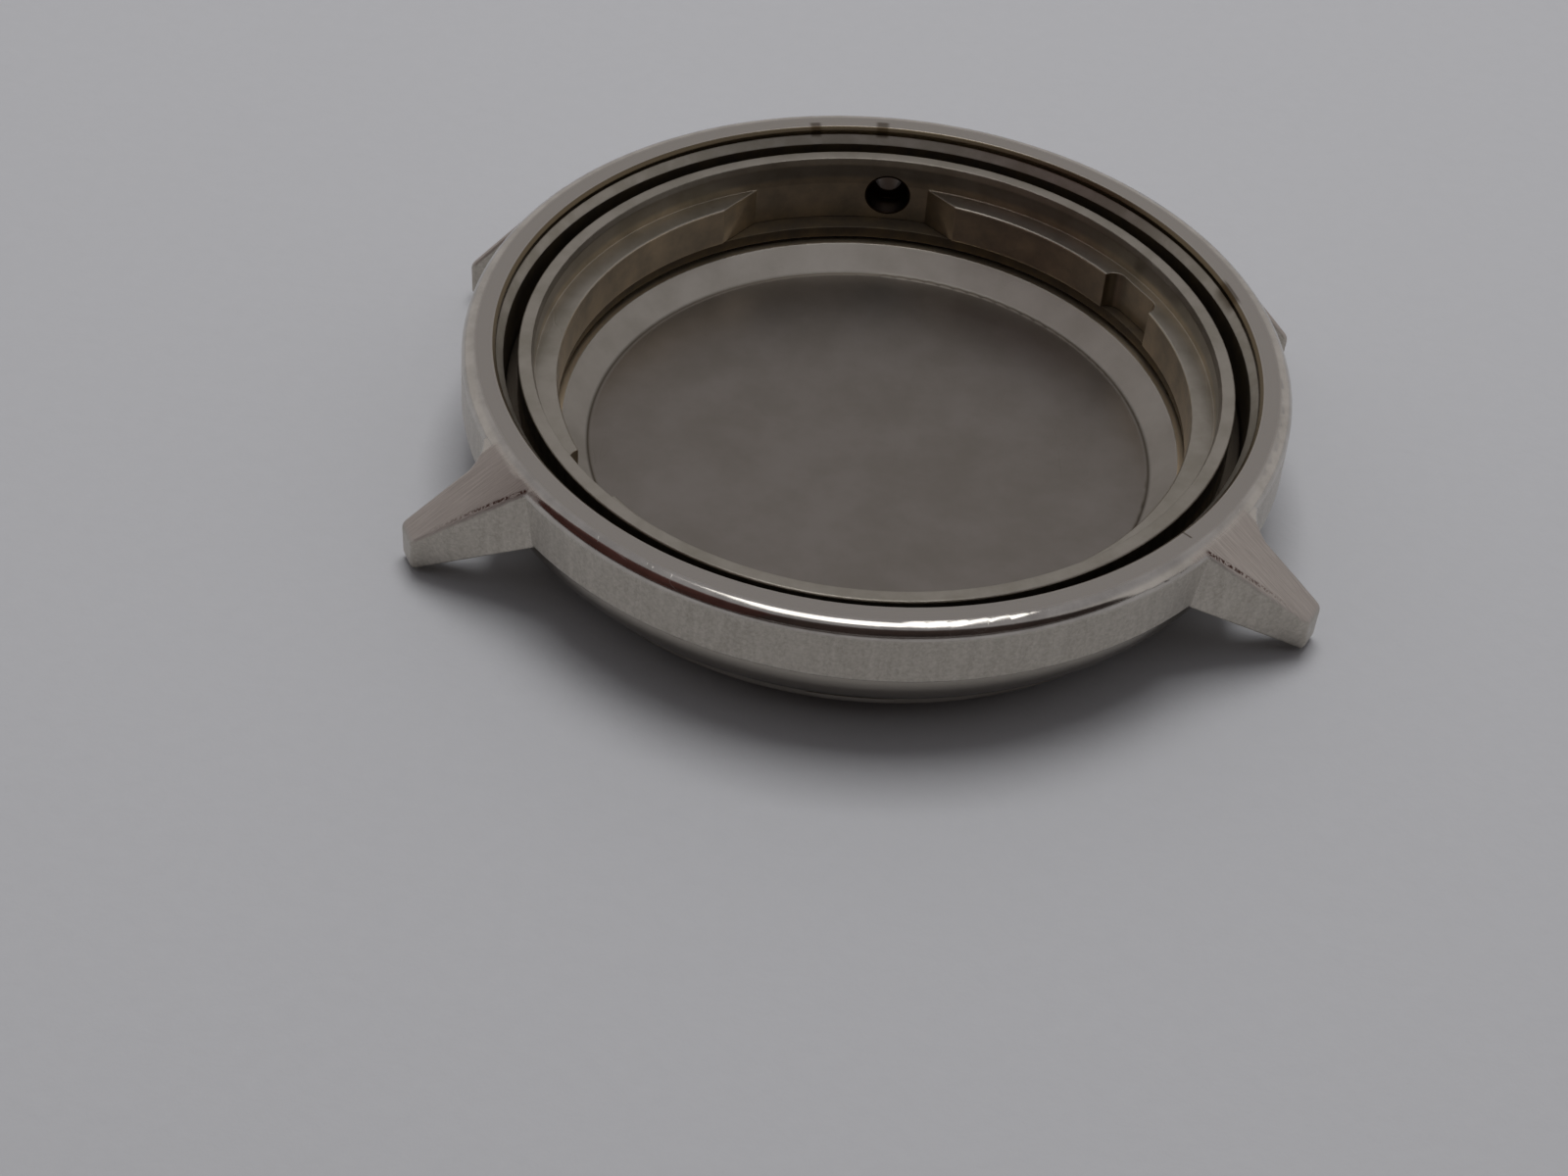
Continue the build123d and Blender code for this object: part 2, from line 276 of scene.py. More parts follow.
def scratches(tree, place, spread, width_share, seed):
    moved = add(tree, "ShaderNodeMapping")
    feed(tree, moved.inputs["Vector"], place.point)
    moved.inputs["Location"].default_value = (seed * spread, seed * spread * 2.0, 0.0)
    moved.inputs["Rotation"].default_value = (*SCRATCH_TILT, seed)
    moved.inputs["Scale"].default_value = (1.0, SCRATCH_STRETCH, 1.0)
    field = noise(tree, moved.outputs[0], 1.0 / spread, detail=2.0, distortion=0.4)
    off = maths(tree, "ABSOLUTE", maths(tree, "SUBTRACT", field, 0.5))
    line = rise(tree, off, width_share, 0.0)
    gap = noise(tree, place.point, 0.45 / spread, detail=2.0)
    return both(tree, line, rise(tree, gap, GAP_START, GAP_END))

# %% [markdown]
# At 3 o'clock the stem runs through a hole in the ring and the band, and its walls
# are painted nearly black: years of grease, with painted shade of the deep hole.
# They are parts of larger pieces, so a mask finds them: points near the stem's
# line, between the ring's bore and the band.

# %% Walls of the stem hole
# The next colour is grease with painted shade, for the stem hole and the tube.
GREASE_AND_SHADE = screen(0.20, 0.15, 0.11)
STEM_HEIGHT = 3.75 * MM
SHADE_REACH = 1.02 * MM  # just past the walls of both holes
MOVEMENT_BORE = 13.10 * MM


def stem_hole(tree, place):
    lift = maths(tree, "SUBTRACT", place.z, STEM_HEIGHT)
    square = maths(tree, "ADD", maths(tree, "MULTIPLY", place.x, place.x),
                   maths(tree, "MULTIPLY", lift, lift))
    off = maths(tree, "SQRT", square)
    return both(tree, rise(tree, off, SHADE_REACH + 3 * HAIR, SHADE_REACH),
                rise(tree, place.y, MOVEMENT_BORE, MOVEMENT_BORE + 10 * HAIR),
                rise(tree, place.radius, BAND_RADIUS - 4 * HAIR, BAND_RADIUS - 12 * HAIR))


print("grime about the stem's line, reach in mm:", round(SHADE_REACH / MM, 2))

# %% [markdown]
# Every finish ends in the same shader, whose colour, roughness and fine relief
# come from the masks. Marks on a case are a hundredth or two of a millimetre deep
# at most, too small for real geometry, so the relief goes through one bump node.
# No edge of a real case is left sharp, so a small rounding of edges lies under it.

# %% Surface shader
EDGE_BREAK = 0.08 * MM
MARK_DEPTH = 0.004 * MM
FINE_MARK_DEPTH = 0.003 * MM


def begin(name):
    material = bpy.data.materials.new(name)
    material.use_nodes = True
    tree = material.node_tree
    tree.nodes.clear()
    return material, tree


def end_surface(tree, colour, roughness, relief, depth, metallic=1.0):
    soft_edge = add(tree, "ShaderNodeBevel", samples=4)
    soft_edge.inputs["Radius"].default_value = EDGE_BREAK
    bump = add(tree, "ShaderNodeBump")
    feed(tree, bump.inputs["Normal"], soft_edge.outputs[0])
    bump.inputs["Strength"].default_value = 1.0
    bump.inputs["Distance"].default_value = depth
    feed(tree, bump.inputs["Height"], relief)
    shader = add(tree, "ShaderNodeBsdfPrincipled")
    feed(tree, shader.inputs["Base Color"], colour)
    feed(tree, shader.inputs["Roughness"], roughness)
    feed(tree, shader.inputs["Metallic"], metallic)
    feed(tree, shader.inputs["Normal"], bump.outputs[0])
    output = add(tree, "ShaderNodeOutputMaterial")
    feed(tree, output.inputs["Surface"], shader.outputs[0])
    print("finish with", len(tree.nodes), "nodes")

# %% [markdown]
# The rim has a matte flat on top, a short wall inside it where the crystal was
# pressed in, and a sloping seat below the wall. The wall is painted dark, stain
# with painted shade. The bore under the seat is hidden from polishing and stays
# stained, and its darkest tone is painted shade of the deep groove. Height and
# radius tell these four apart.

# %% Zones of the rim
def rim_zones(tree, place):
    flat = both(tree, within(tree, place.radius, RIM_FLAT_INNER, RIM_FLAT_OUTER, 8 * HAIR),
                rise(tree, place.z, CASE_TOP - 6 * HAIR, CASE_TOP - 3 * HAIR))
    seat = both(tree, within(tree, place.z, CRYSTAL_SEAT_FOOT, CRYSTAL_SEAT_TOP),
                rise(tree, place.radius, RIM_FLAT_INNER, RIM_FLAT_INNER - 5 * HAIR))
    wall = both(tree, rise(tree, place.z, CRYSTAL_SEAT_TOP - HAIR, CRYSTAL_SEAT_TOP + HAIR),
                rise(tree, place.radius, RIM_FLAT_INNER + HAIR, RIM_FLAT_INNER - HAIR))
    inside = both(tree, rise(tree, place.z, CRYSTAL_SEAT_FOOT + HAIR, CRYSTAL_SEAT_FOOT - HAIR),
                  rise(tree, place.radius, CASE_BORE + 4 * HAIR, CASE_BORE + 2 * HAIR))
    return dict(flat=flat, seat=seat, wall=wall, inside=inside)

# %% [markdown]
# The band is satin from its foot up to the polished rounding. It could be picked
# by its radius alone, but the rounding has nearly the same one, so the height
# decides and the radius only keeps the mask out of the bore.

# %% Zone of the band
def band_zone(tree, place, outside):
    return both(tree, rise(tree, place.z, BAND_TOP + 14 * HAIR, BAND_TOP - 6 * HAIR),
                rise(tree, place.z, BAND_FOOT - 4 * HAIR, BAND_FOOT + 4 * HAIR),
                rise(tree, place.radius, CASE_BORE + 30 * HAIR, CASE_BORE + 40 * HAIR),
                maths(tree, "SUBTRACT", 1.0, outside))

# %% [markdown]
# A lug has a brushed top and a satin side, and dirt stays along the ridge between
# them. All four lugs mirror each other, so the distances from the two axes are
# used without their signs. Which way the surface faces tells top from side, and
# the ridge is a sloping line in plan.

# %% Zones of the lugs
SIDEWAYS, UPWARDS = 0.25, 0.45  # how much a surface faces up, from 0 to 1


def lug_zones(tree, place, outside):
    lug = both(tree, within(tree, place.side_y, LUG_INNER_Y, LUG_OUTER_Y, 5 * HAIR),
               rise(tree, place.side_x, LUG_ROOT_X, LUG_ROOT_X + 30 * HAIR))
    lug_top = both(tree, lug,
                   rise(tree, place.radius, LUG_CREASE - 20 * HAIR, LUG_CREASE + 20 * HAIR),
                   rise(tree, place.up, SIDEWAYS, UPWARDS))
    lug_side = both(tree, outside, rise(tree, place.up, UPWARDS, SIDEWAYS))
    run = maths(tree, "SUBTRACT", place.side_x, RIDGE_START_X)
    ridge_y = maths(tree, "SUBTRACT", RIDGE_START_Y, scaled(tree, run, RIDGE_SLOPE))
    below_ridge = maths(tree, "SUBTRACT", ridge_y, place.side_y)
    ridge = both(tree, lug_top, within(tree, below_ridge, 3 * HAIR, 14 * HAIR, 4 * HAIR),
                 rise(tree, place.side_x, RIDGE_START_X - 20 * HAIR, RIDGE_START_X))
    return dict(lug_top=lug_top, lug_side=lug_side, ridge=ridge)


def case_zones(tree, place):
    outside = rise(tree, place.radius, BAND_RADIUS + HAIR, BAND_RADIUS + 4 * HAIR)
    return dict(band=band_zone(tree, place, outside), **rim_zones(tree, place),
                **lug_zones(tree, place, outside))

# %% [markdown]
# A worn case has a few small dark stains across the rim's inner edge. Each is a
# short stretch of the circle. An angle would jump where the circle closes, so the
# closeness to a direction is taken from the cosine and sine, which never jump.

# %% Stains on the rim
STAIN = screen(0.26, 0.20, 0.12)
STAIN_STRENGTH = 0.7
STAIN_FADE = (1.6, 0.6)  # shares of half its width where it begins and is full
RIM_MARKS = [  # turn in degrees, half its width, and the radii in millimetres
    (102.9, 0.7, 15.5, 16.0),
    (91.8, 0.8, 15.5, 16.1),
    (20.5, 2.2, 15.3, 15.85),
    (-40.2, 0.12, 15.66, 16.1),
]


def rim_mark(tree, place, turn, half_width, low, high):
    near = maths(tree, "MULTIPLY", place.cosine, cos(radians(turn)))
    near = maths(tree, "ADD", near, maths(tree, "MULTIPLY", place.sine, sin(radians(turn))))
    side = rise(tree, near, *(cos(radians(half_width * share)) for share in STAIN_FADE))
    return both(tree, side, within(tree, place.radius, low * MM, high * MM, 5 * HAIR),
                rise(tree, place.z, CRYSTAL_SEAT_FOOT, CRYSTAL_SEAT_TOP))


print("stains on the rim:", len(RIM_MARKS))

# %% [markdown]
# Each zone of the case has a grain of its own. The lathe's lines are the finest,
# the satin of the band is mostly grit with a little of an upright grain, and the
# lugs have long hair lines. All widths here are real sizes on the steel.

# %% Grains of the case
UPRIGHT_SHARE = 0.3


def case_grains(tree, place):
    grit = patches(tree, place, 0.16 * MM, detail=5.0, roughness=0.7, distortion=0.6)
    uprights = upright_grain(tree, place, line_width=0.3 * MM, length=2.0 * MM)
    return dict(
        lines=turned_grain(tree, place, line_width=0.03 * MM),
        mottle=blend_value(tree, UPRIGHT_SHARE, grit, uprights),
        hairs=brushed_grain(tree, place, line_width=0.04 * MM, length=1.8 * MM),
        cloud=patches(tree, place, 1.1 * MM),
        speck=patches(tree, place, 0.12 * MM, detail=2.0),
    )

# %% [markdown]
# The colour starts as that of the polished rounding, and the other zones are laid
# over it one by one. Satin steel gets two close tones, mixed by the same grit that
# gives it its relief further down. What lies below the band is painted a darker
# warm tone, as painted shade under the case.

# %% Colour of the case
FLAT_STEEL = screen(0.665, 0.645, 0.63)
SATIN_STEEL = screen(0.765, 0.74, 0.70)
SATIN_SHADE = screen(0.645, 0.62, 0.58)
OLIVE_STEEL = screen(0.60, 0.577, 0.53)
# The next two colours are dark: stain with painted shade, then painted shade for hollows.
STAIN_AND_SHADE_STEEL = screen(0.44, 0.39, 0.31)
PAINTED_SHADE_STEEL = screen(0.36, 0.33, 0.29)


def turned_colour(tree, place, zone, grain):
    """Rounding, flat, foot, band, lug sides, wall, seat and bore, in that order."""
    colour = clouded(tree, grain["cloud"], 0.3, 0.75, BRIGHT_STEEL, BARE_STEEL)
    flat = blend_colour(tree, grain["speck"], FLAT_STEEL, WARM_STEEL)
    colour = blend_colour(tree, zone["flat"], colour, flat)
    # Painted shade: the steel below the band is darker, as if in the case's shadow.
    foot = rise(tree, place.z, BAND_FOOT + 4 * HAIR, BAND_FOOT - 4 * HAIR)
    colour = blend_colour(tree, foot, colour, WARM_STEEL)
    satin = clouded(tree, grain["mottle"], 0.3, 0.7, SATIN_STEEL, SATIN_SHADE)
    colour = blend_colour(tree, zone["band"], colour, satin)
    colour = blend_colour(tree, zone["lug_side"], colour, satin)
    # Stain with painted shade on the crystal wall.
    colour = blend_colour(tree, zone["wall"], colour, STAIN_AND_SHADE_STEEL)
    seat = clouded(tree, grain["cloud"], 0.35, 0.75, OLIVE_STEEL, WARM_STEEL)
    colour = blend_colour(tree, zone["seat"], colour, seat)
    # The bore goes from stain into painted shade of the groove.
    bore = clouded(tree, grain["cloud"], 0.3, 0.7, STAIN_AND_SHADE_STEEL, PAINTED_SHADE_STEEL)
    return blend_colour(tree, zone["inside"], colour, bore)

# %% [markdown]
# The lugs' tops were brushed by hand and are a little warmer. Reddish dirt has
# settled along the ridge, in crumbs near the case that thin out towards the tip.
# A fine noise breaks the line up, so that it doesn't look drawn with a ruler.

# %% Colour of the lugs' tops
LUG_STEEL = screen(0.79, 0.755, 0.725)
LUG_LINE_STEEL = screen(0.69, 0.655, 0.625)
RUST = screen(0.33, 0.19, 0.15)
DIRT_FULL = RIDGE_START_X + 0.6 * MM
DIRT_END = RIDGE_START_X + 4.6 * MM


def ridge_dirt(tree, place, zone, grain):
    fading = rise(tree, place.side_x, DIRT_END, DIRT_FULL)
    return both(tree, zone["ridge"], fading, rise(tree, grain["speck"], 0.36, 0.6))


def lug_colour(tree, zone, grain, dirt, colour):
    brushed = clouded(tree, grain["hairs"], 0.3, 0.7, LUG_STEEL, LUG_LINE_STEEL)
    colour = blend_colour(tree, zone["lug_top"], colour, brushed)
    return blend_colour(tree, dirt, colour, RUST)

# %% [markdown]
# Roughness makes the difference between polished and satin steel. A polished
# rounding draws a sharp bright crease, and a satin band only a soft sheen. The
# values go from the clearest surface, 0.12, to dry dirt, 0.7. The later ones lie
# over the earlier ones.

# %% Roughness of the case
POLISHED_ROUGHNESS = 0.12
ZONE_ROUGHNESS = dict(flat=0.3, wall=0.25, seat=0.38, inside=0.55, lug_top=0.36,
                      dirt=0.7, lug_side=0.32, band=0.30)


def case_roughness(tree, zone, dirt):
    masks = dict(zone, dirt=dirt)
    roughness = POLISHED_ROUGHNESS
    for name, value in ZONE_ROUGHNESS.items():
        roughness = blend_value(tree, masks[name], roughness, value)
    return roughness


print("roughest zone of the case:", max(ZONE_ROUGHNESS, key=ZONE_ROUGHNESS.get))

# %% [markdown]
# The relief says how far each grain cuts, as a multiple of the mark depth. Satin is
# blasted and cut deepest, brushed lines are about half of that, and lathe lines
# are all but polished away. The stray scratches cut across every zone.

# %% Relief of the case
LINE_RELIEF = 0.3
SATIN_RELIEF = 4.0
BRUSHED_RELIEF = 2.0
SCRATCH_RELIEF = 0.35


def case_relief(tree, place, zone, grain):
    satin = scaled(tree, grain["mottle"], SATIN_RELIEF)
    relief = scaled(tree, grain["lines"], LINE_RELIEF)
    relief = blend_value(tree, zone["band"], relief, satin)
    brushed = scaled(tree, grain["hairs"], BRUSHED_RELIEF)
    relief = blend_value(tree, zone["lug_top"], relief, brushed)
    relief = blend_value(tree, zone["lug_side"], relief, satin)
    marks = scratches(tree, place, spread=1.3 * MM, width_share=0.003, seed=1.0)
    return maths(tree, "SUBTRACT", relief, scaled(tree, marks, SCRATCH_RELIEF))

# %% [markdown]
# Now the case's steel is put together. Zones and grains could be made afresh for
# each use. Made once and shared, they keep the graph small, and colour, roughness
# and relief change at the same borders.

# %% Case steel
def make_case_steel():
    material, tree = begin("case_steel_finish")
    place = Place(tree)
    zone = case_zones(tree, place)
    grain = case_grains(tree, place)
    dirt = ridge_dirt(tree, place, zone, grain)
    colour = turned_colour(tree, place, zone, grain)
    colour = lug_colour(tree, zone, grain, dirt, colour)
    for turn, half_width, low, high in RIM_MARKS:
        mark = rim_mark(tree, place, turn, half_width, low, high)
        colour = blend_colour(tree, scaled(tree, mark, STAIN_STRENGTH), colour, STAIN)
    # Painted shade with grease: the stem hole's walls turn nearly black.
    colour = blend_colour(tree, stem_hole(tree, place), colour, GREASE_AND_SHADE)
    roughness = case_roughness(tree, zone, dirt)
    relief = case_relief(tree, place, zone, grain)
    end_surface(tree, colour, roughness, relief, MARK_DEPTH)
    return material

# %% [markdown]
# The casing ring is plain turned steel that was never polished, because a dial
# hides it. Its bore, its collar and the pockets in its dial ledge each get a tone
# of their own, so they get masks too. The collar's wall is stain with painted
# shade, and a pocket's end wall is painted dark as the pocket's shadow. A pocket's
# end wall faces along the ring and its back wall faces the axis, and that tells
# the two apart.

# %% Zones of the ring
COLLAR_RADIUS = 14.70 * MM
DIAL_BORE = 14.05 * MM
LEDGE_TOP = 4.29 * MM
TO_THE_AXIS, ALONG_THE_RING = 0.93, 0.75  # how much a wall faces the axis
SLOPING, STEEP = 0.5, 0.3  # how much a wall faces up


def ring_zones(tree, place):
    past_bore = (MOVEMENT_BORE + HAIR, MOVEMENT_BORE + 4 * HAIR)
    bore = rise(tree, place.radius, MOVEMENT_BORE + 3 * HAIR, MOVEMENT_BORE + HAIR)
    collar_wall = both(tree, within(tree, place.radius, DIAL_BORE, DIAL_BORE, 3 * HAIR),
                       rise(tree, place.z, LEDGE_TOP, LEDGE_TOP + 3 * HAIR))
    outer = rise(tree, place.radius, COLLAR_RADIUS - HAIR, COLLAR_RADIUS + HAIR)
    pocket_end = both(tree, rise(tree, place.radius, *past_bore),
                      rise(tree, place.z, LEDGE_TOP - HAIR, LEDGE_TOP - 6 * HAIR),
                      rise(tree, place.outward, TO_THE_AXIS, ALONG_THE_RING))
    pocket_wall = both(tree, rise(tree, place.radius, *past_bore),
                       rise(tree, place.z, LEDGE_TOP + 50 * HAIR, LEDGE_TOP + 20 * HAIR),
                       rise(tree, place.up, SLOPING, STEEP))
    return dict(bore=bore, collar_wall=collar_wall, outer=outer, pocket_end=pocket_end,
                pocket_wall=pocket_wall)


print("collar of the ring, wall in mm:", round((COLLAR_RADIUS - DIAL_BORE) / MM, 2))

# %% [markdown]
# The ring is warm and brownish inside. The gap between its collar and the case,
# where light hardly gets in, is painted darkest, as painted shade. The bore and the
# pockets are given a pale brown, because they mostly mirror each other and darken
# twice.

# %% Ring steel
PALE_BROWN_STEEL = screen(0.90, 0.83, 0.72)
POCKET_END_STRENGTH = 0.8
RING_ROUGHNESS = (0.28, 0.38)  # between the lathe's lines and on them


def ring_colour(tree, place, zone):
    cloud = patches(tree, place, 1.6 * MM)
    colour = clouded(tree, cloud, 0.3, 0.75, WARM_STEEL, OLIVE_STEEL)
    walls = clouded(tree, cloud, 0.05, 1.0, PALE_BROWN_STEEL, OLIVE_STEEL)
    colour = blend_colour(tree, zone["pocket_wall"], colour, walls)
    bore = clouded(tree, cloud, 0.0, 1.0, OLIVE_STEEL, PALE_BROWN_STEEL)
    colour = blend_colour(tree, zone["bore"], colour, bore)
    # Stain with painted shade on the collar's wall.
    colour = blend_colour(tree, zone["collar_wall"], colour, STAIN_AND_SHADE_STEEL)
    # Painted shadow: the pockets' end walls are darkened.
    ends = scaled(tree, zone["pocket_end"], POCKET_END_STRENGTH)
    colour = blend_colour(tree, ends, colour, STAIN_AND_SHADE_STEEL)
    # Painted shade in the gap between the collar and the case.
    colour = blend_colour(tree, zone["outer"], colour, PAINTED_SHADE_STEEL)
    # Painted shade with grease: the stem hole's walls turn nearly black.
    return blend_colour(tree, stem_hole(tree, place), colour, GREASE_AND_SHADE)


def make_ring_steel():
    material, tree = begin("ring_steel_finish")
    place = Place(tree)
    colour = ring_colour(tree, place, ring_zones(tree, place))
    lines = turned_grain(tree, place, line_width=0.05 * MM)
    roughness = blend_value(tree, lines, *RING_ROUGHNESS)
    marks = scratches(tree, place, spread=1.7 * MM, width_share=0.006, seed=2.0)
    end_surface(tree, colour, roughness, maths(tree, "SUBTRACT", lines, marks), MARK_DEPTH)
    return material

# %% [markdown]
# The inside of the back is a flat turned floor inside a brighter bevel, with
# painted shade in the corner between them and a narrow shelf outside. All are
# rings about the axis, so the radius alone parts them, and the height keeps off
# the outside.

# %% Zones of the back
BACK_WALL_TOP = 1.79 * MM
BACK_BEVEL_RADIUS = 12.90 * MM
BACK_FLOOR_RADIUS = 11.85 * MM
BACK_FLOOR_EDGE = (BACK_FLOOR_RADIUS - 14 * HAIR, BACK_FLOOR_RADIUS + 10 * HAIR)
BACK_INSIDE = (0.3 * MM, 0.5 * MM)


def back_zones(tree, place):
    edge_start, edge_end = BACK_FLOOR_EDGE
    inside = rise(tree, place.z, *BACK_INSIDE)
    floor = both(tree, inside, rise(tree, place.radius, edge_end, edge_start))
    bevel = both(tree, inside, rise(tree, place.radius, edge_start, edge_end),
                 rise(tree, place.radius, BACK_BEVEL_RADIUS, BACK_BEVEL_RADIUS - HAIR))
    shelf = both(tree, inside,
                 rise(tree, place.radius, BACK_BEVEL_RADIUS + HAIR, BACK_BEVEL_RADIUS + 6 * HAIR),
                 rise(tree, place.z, BACK_WALL_TOP - 4 * HAIR, BACK_WALL_TOP - HAIR))
    corner = within(tree, place.radius, BACK_FLOOR_RADIUS - 8 * HAIR,
                    BACK_FLOOR_RADIUS + 6 * HAIR, 8 * HAIR)
    return dict(floor=floor, bevel=bevel, shelf=shelf, corner=both(tree, inside, corner))


print("bevel of the back, width in mm:", round((BACK_BEVEL_RADIUS - BACK_FLOOR_RADIUS) / MM, 2))

# %% [markdown]
# The floor is dull and grey-brown with faint rings, clouded by age. A low
# roughness would make it a mirror for the ring above it, so it keeps a middling
# one, and the bevel, which looks up at the lamp, a higher one.

# %% Back steel
DULL_STEEL = screen(0.565, 0.54, 0.515)
DUSTY_STEEL = screen(0.525, 0.50, 0.47)
BACK_ROUGHNESS = 0.36
BACK_FLOOR_ROUGHNESS = 0.34
BACK_BEVEL_ROUGHNESS = 0.62


def back_colour(tree, place, zone):
    cloud = patches(tree, place, 2.6 * MM, detail=5.0)
    colour = clouded(tree, cloud, 0.3, 0.75, BARE_STEEL, WARM_STEEL)
    dull = clouded(tree, cloud, 0.25, 0.75, DULL_STEEL, DUSTY_STEEL)
    colour = blend_colour(tree, zone["floor"], colour, dull)
    bright = clouded(tree, cloud, 0.1, 1.1, BRIGHT_STEEL, WARM_STEEL)
    colour = blend_colour(tree, zone["bevel"], colour, bright)
    # Painted shade: the corner between floor and bevel is darkened.
    colour = blend_colour(tree, zone["corner"], colour, PAINTED_SHADE_STEEL)
    return blend_colour(tree, zone["shelf"], colour, PALE_BROWN_STEEL)


def make_back_steel():
    material, tree = begin("back_steel_finish")
    place = Place(tree)
    zone = back_zones(tree, place)
    colour = back_colour(tree, place, zone)
    roughness = blend_value(tree, zone["floor"], BACK_ROUGHNESS, BACK_FLOOR_ROUGHNESS)
    roughness = blend_value(tree, zone["bevel"], roughness, BACK_BEVEL_ROUGHNESS)
    lines = turned_grain(tree, place, line_width=0.04 * MM)
    marks = scratches(tree, place, spread=2.2 * MM, width_share=0.006, seed=3.0)
    end_surface(tree, colour, roughness, maths(tree, "SUBTRACT", lines, marks), FINE_MARK_DEPTH)
    return material

# %% [markdown]
# The gasket is black rubber. Old rubber has a pale dry bloom in patches, and a
# bloomed patch is also rougher. It isn't a metal, so the shader's metallic value
# is set to 0.

# %% Gasket rubber
BLACK_RUBBER = screen(0.09, 0.09, 0.095)
BLOOMED_RUBBER = screen(0.19, 0.185, 0.18)
RUBBER_ROUGHNESS = (0.5, 0.75)  # clean and bloomed


def make_gasket_rubber():
    material, tree = begin("gasket_rubber_finish")
    cloud = patches(tree, Place(tree), 0.7 * MM)
    bloom = rise(tree, cloud, 0.4, 0.75)
    colour = blend_colour(tree, bloom, BLACK_RUBBER, BLOOMED_RUBBER)
    roughness = blend_value(tree, bloom, *RUBBER_ROUGHNESS)
    end_surface(tree, colour, roughness, cloud, depth=0.01 * MM, metallic=0.0)
    return material

# %% [markdown]
# The stem tube is a short drawn tube with fine rings. All of it but its mouth is
# painted nearly black, grease with painted shade of the hole, so the colour turns
# dark a little way inside the band.

# %% Tube steel
SHADE_START = BAND_RADIUS - 4 * HAIR
SHADE_FULL = BAND_RADIUS - 30 * HAIR
TUBE_ROUGHNESS = (0.22, 0.4)  # between the rings and on them


def make_tube_steel():
    material, tree = begin("tube_steel_finish")
    place = Place(tree)
    lines = turned_grain(tree, place, line_width=0.03 * MM)
    colour = blend_colour(tree, lines, BRIGHT_STEEL, WARM_STEEL)
    # Painted shade with grease: the tube darkens a little way inside the band.
    greasy_and_shaded = rise(tree, place.radius, SHADE_START, SHADE_FULL)
    colour = blend_colour(tree, greasy_and_shaded, colour, GREASE_AND_SHADE)
    roughness = blend_value(tree, lines, *TUBE_ROUGHNESS)
    end_surface(tree, colour, roughness, lines, FINE_MARK_DEPTH)
    return material

# %% [markdown]
# The shapes are already right, so each node stays and only takes its finish. A
# node's material slot is filled where it is, and no mesh is copied or changed.

# %% Dress the nodes
def dress(name, material):
    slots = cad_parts[name].data.materials
    if len(slots) == 0:
        slots.append(material)
    for index in range(len(slots)):
        slots[index] = material
    print(name, "takes", material.name)


dress("case_middle", make_case_steel())
dress("casing_ring", make_ring_steel())
dress("case_back", make_back_steel())
dress("back_gasket", make_gasket_rubber())
dress("stem_tube", make_tube_steel())

# %% [markdown]
# The case lies on its back on pale grey-blue paper. One large square is enough,
# and its fibres are a faint noise with a little relief. The paper is much larger
# than the view, so that no edge of it shows when the camera moves round.

# %% Floor
FLOOR_REACH = 0.9
PAPER_SHADE = screen(0.67, 0.672, 0.682)
PAPER_LIGHT = screen(0.685, 0.687, 0.697)
PAPER_ROUGHNESS = 0.9


def level(reach, front_y, back_y, height):
    """The corners of a level rectangle that reaches as far left as right."""
    return [(-reach, front_y, height), (reach, front_y, height),
            (reach, back_y, height), (-reach, back_y, height)]


def make_flat_mesh(name, corners):
    mesh = bpy.data.meshes.new(name)
    mesh.from_pydata(corners, [], [(0, 1, 2, 3)])
    flat = bpy.data.objects.new(name, mesh)
    bpy.context.scene.collection.objects.link(flat)
    return flat


def make_paper():
    material, tree = begin("paper")
    fibre = patches(tree, Place(tree), 0.8 * MM)
    shade = blend_colour(tree, fibre, PAPER_SHADE, PAPER_LIGHT)
    end_surface(tree, shade, PAPER_ROUGHNESS, fibre, depth=0.02 * MM, metallic=0.0)
    return material


floor = make_flat_mesh("floor", level(FLOOR_REACH, -FLOOR_REACH, FLOOR_REACH, 0.0))
floor.data.materials.append(make_paper())
print("floor, metres across:", 2 * FLOOR_REACH)

# %% [markdown]
# Light came from a wide soft lamp high behind the case, which throws the shadow
# under its front. A lamp strong enough for that burns out where flat steel mirrors
# it. So the lamp is split: the soft box lights the scene but can't be seen in
# steel, and a dimmer panel in nearly the same place is seen in steel alone. The
# panel draws the bright crease along the rim.

# %% Lamps
def lamp(name, place, target, width, depth, power):
    data = bpy.data.lights.new(name, "AREA")
    data.shape = "RECTANGLE"
    data.size = width
    data.size_y = depth
    data.energy = power
    made = bpy.data.objects.new(name, data)
    made.location = place
    aim = Vector(target) - Vector(place)
    made.rotation_euler = aim.to_track_quat("-Z", "Y").to_euler()
    bpy.context.scene.collection.objects.link(made)
    print(name, "at", place, "with", power, "W")
    return made


soft_box = lamp("soft_box", place=(0.0, 0.09, 0.36), target=(0.0, 0.04, 0),
                width=0.19, depth=0.20, power=0.90)
soft_box.visible_glossy = False
pale_panel = lamp("pale_panel", place=(0.0, 0.03, 0.361), target=(0.0, 0.03, 0),
                  width=0.15, depth=0.21, power=0.22)
pale_panel.visible_diffuse = False

# %% [markdown]
# The room in front, where the camera stood, was dark and warm, and the polished
# rim mirrors it as the dark line under the crease. Modelling a room would be a
# waste. Three cards stand for it: the far wall, which also keeps light off the
# shadow in front, something warm at the left, and a dark sheet lying low beyond
# the view in front, which stands in for the shade on the floor there. No view sees
# a card itself, and none throws a lamp's shadow.

# %% Cards for the dark room
CARD_SHADE = screen(0.05, 0.045, 0.05)
CARD_MOTTLE = 30 * MM
CARD_ROUGHNESS = 0.9
ROOM_COLOUR = screen(0.29, 0.225, 0.205)
WARM_COLOUR = screen(0.40, 0.22, 0.19)


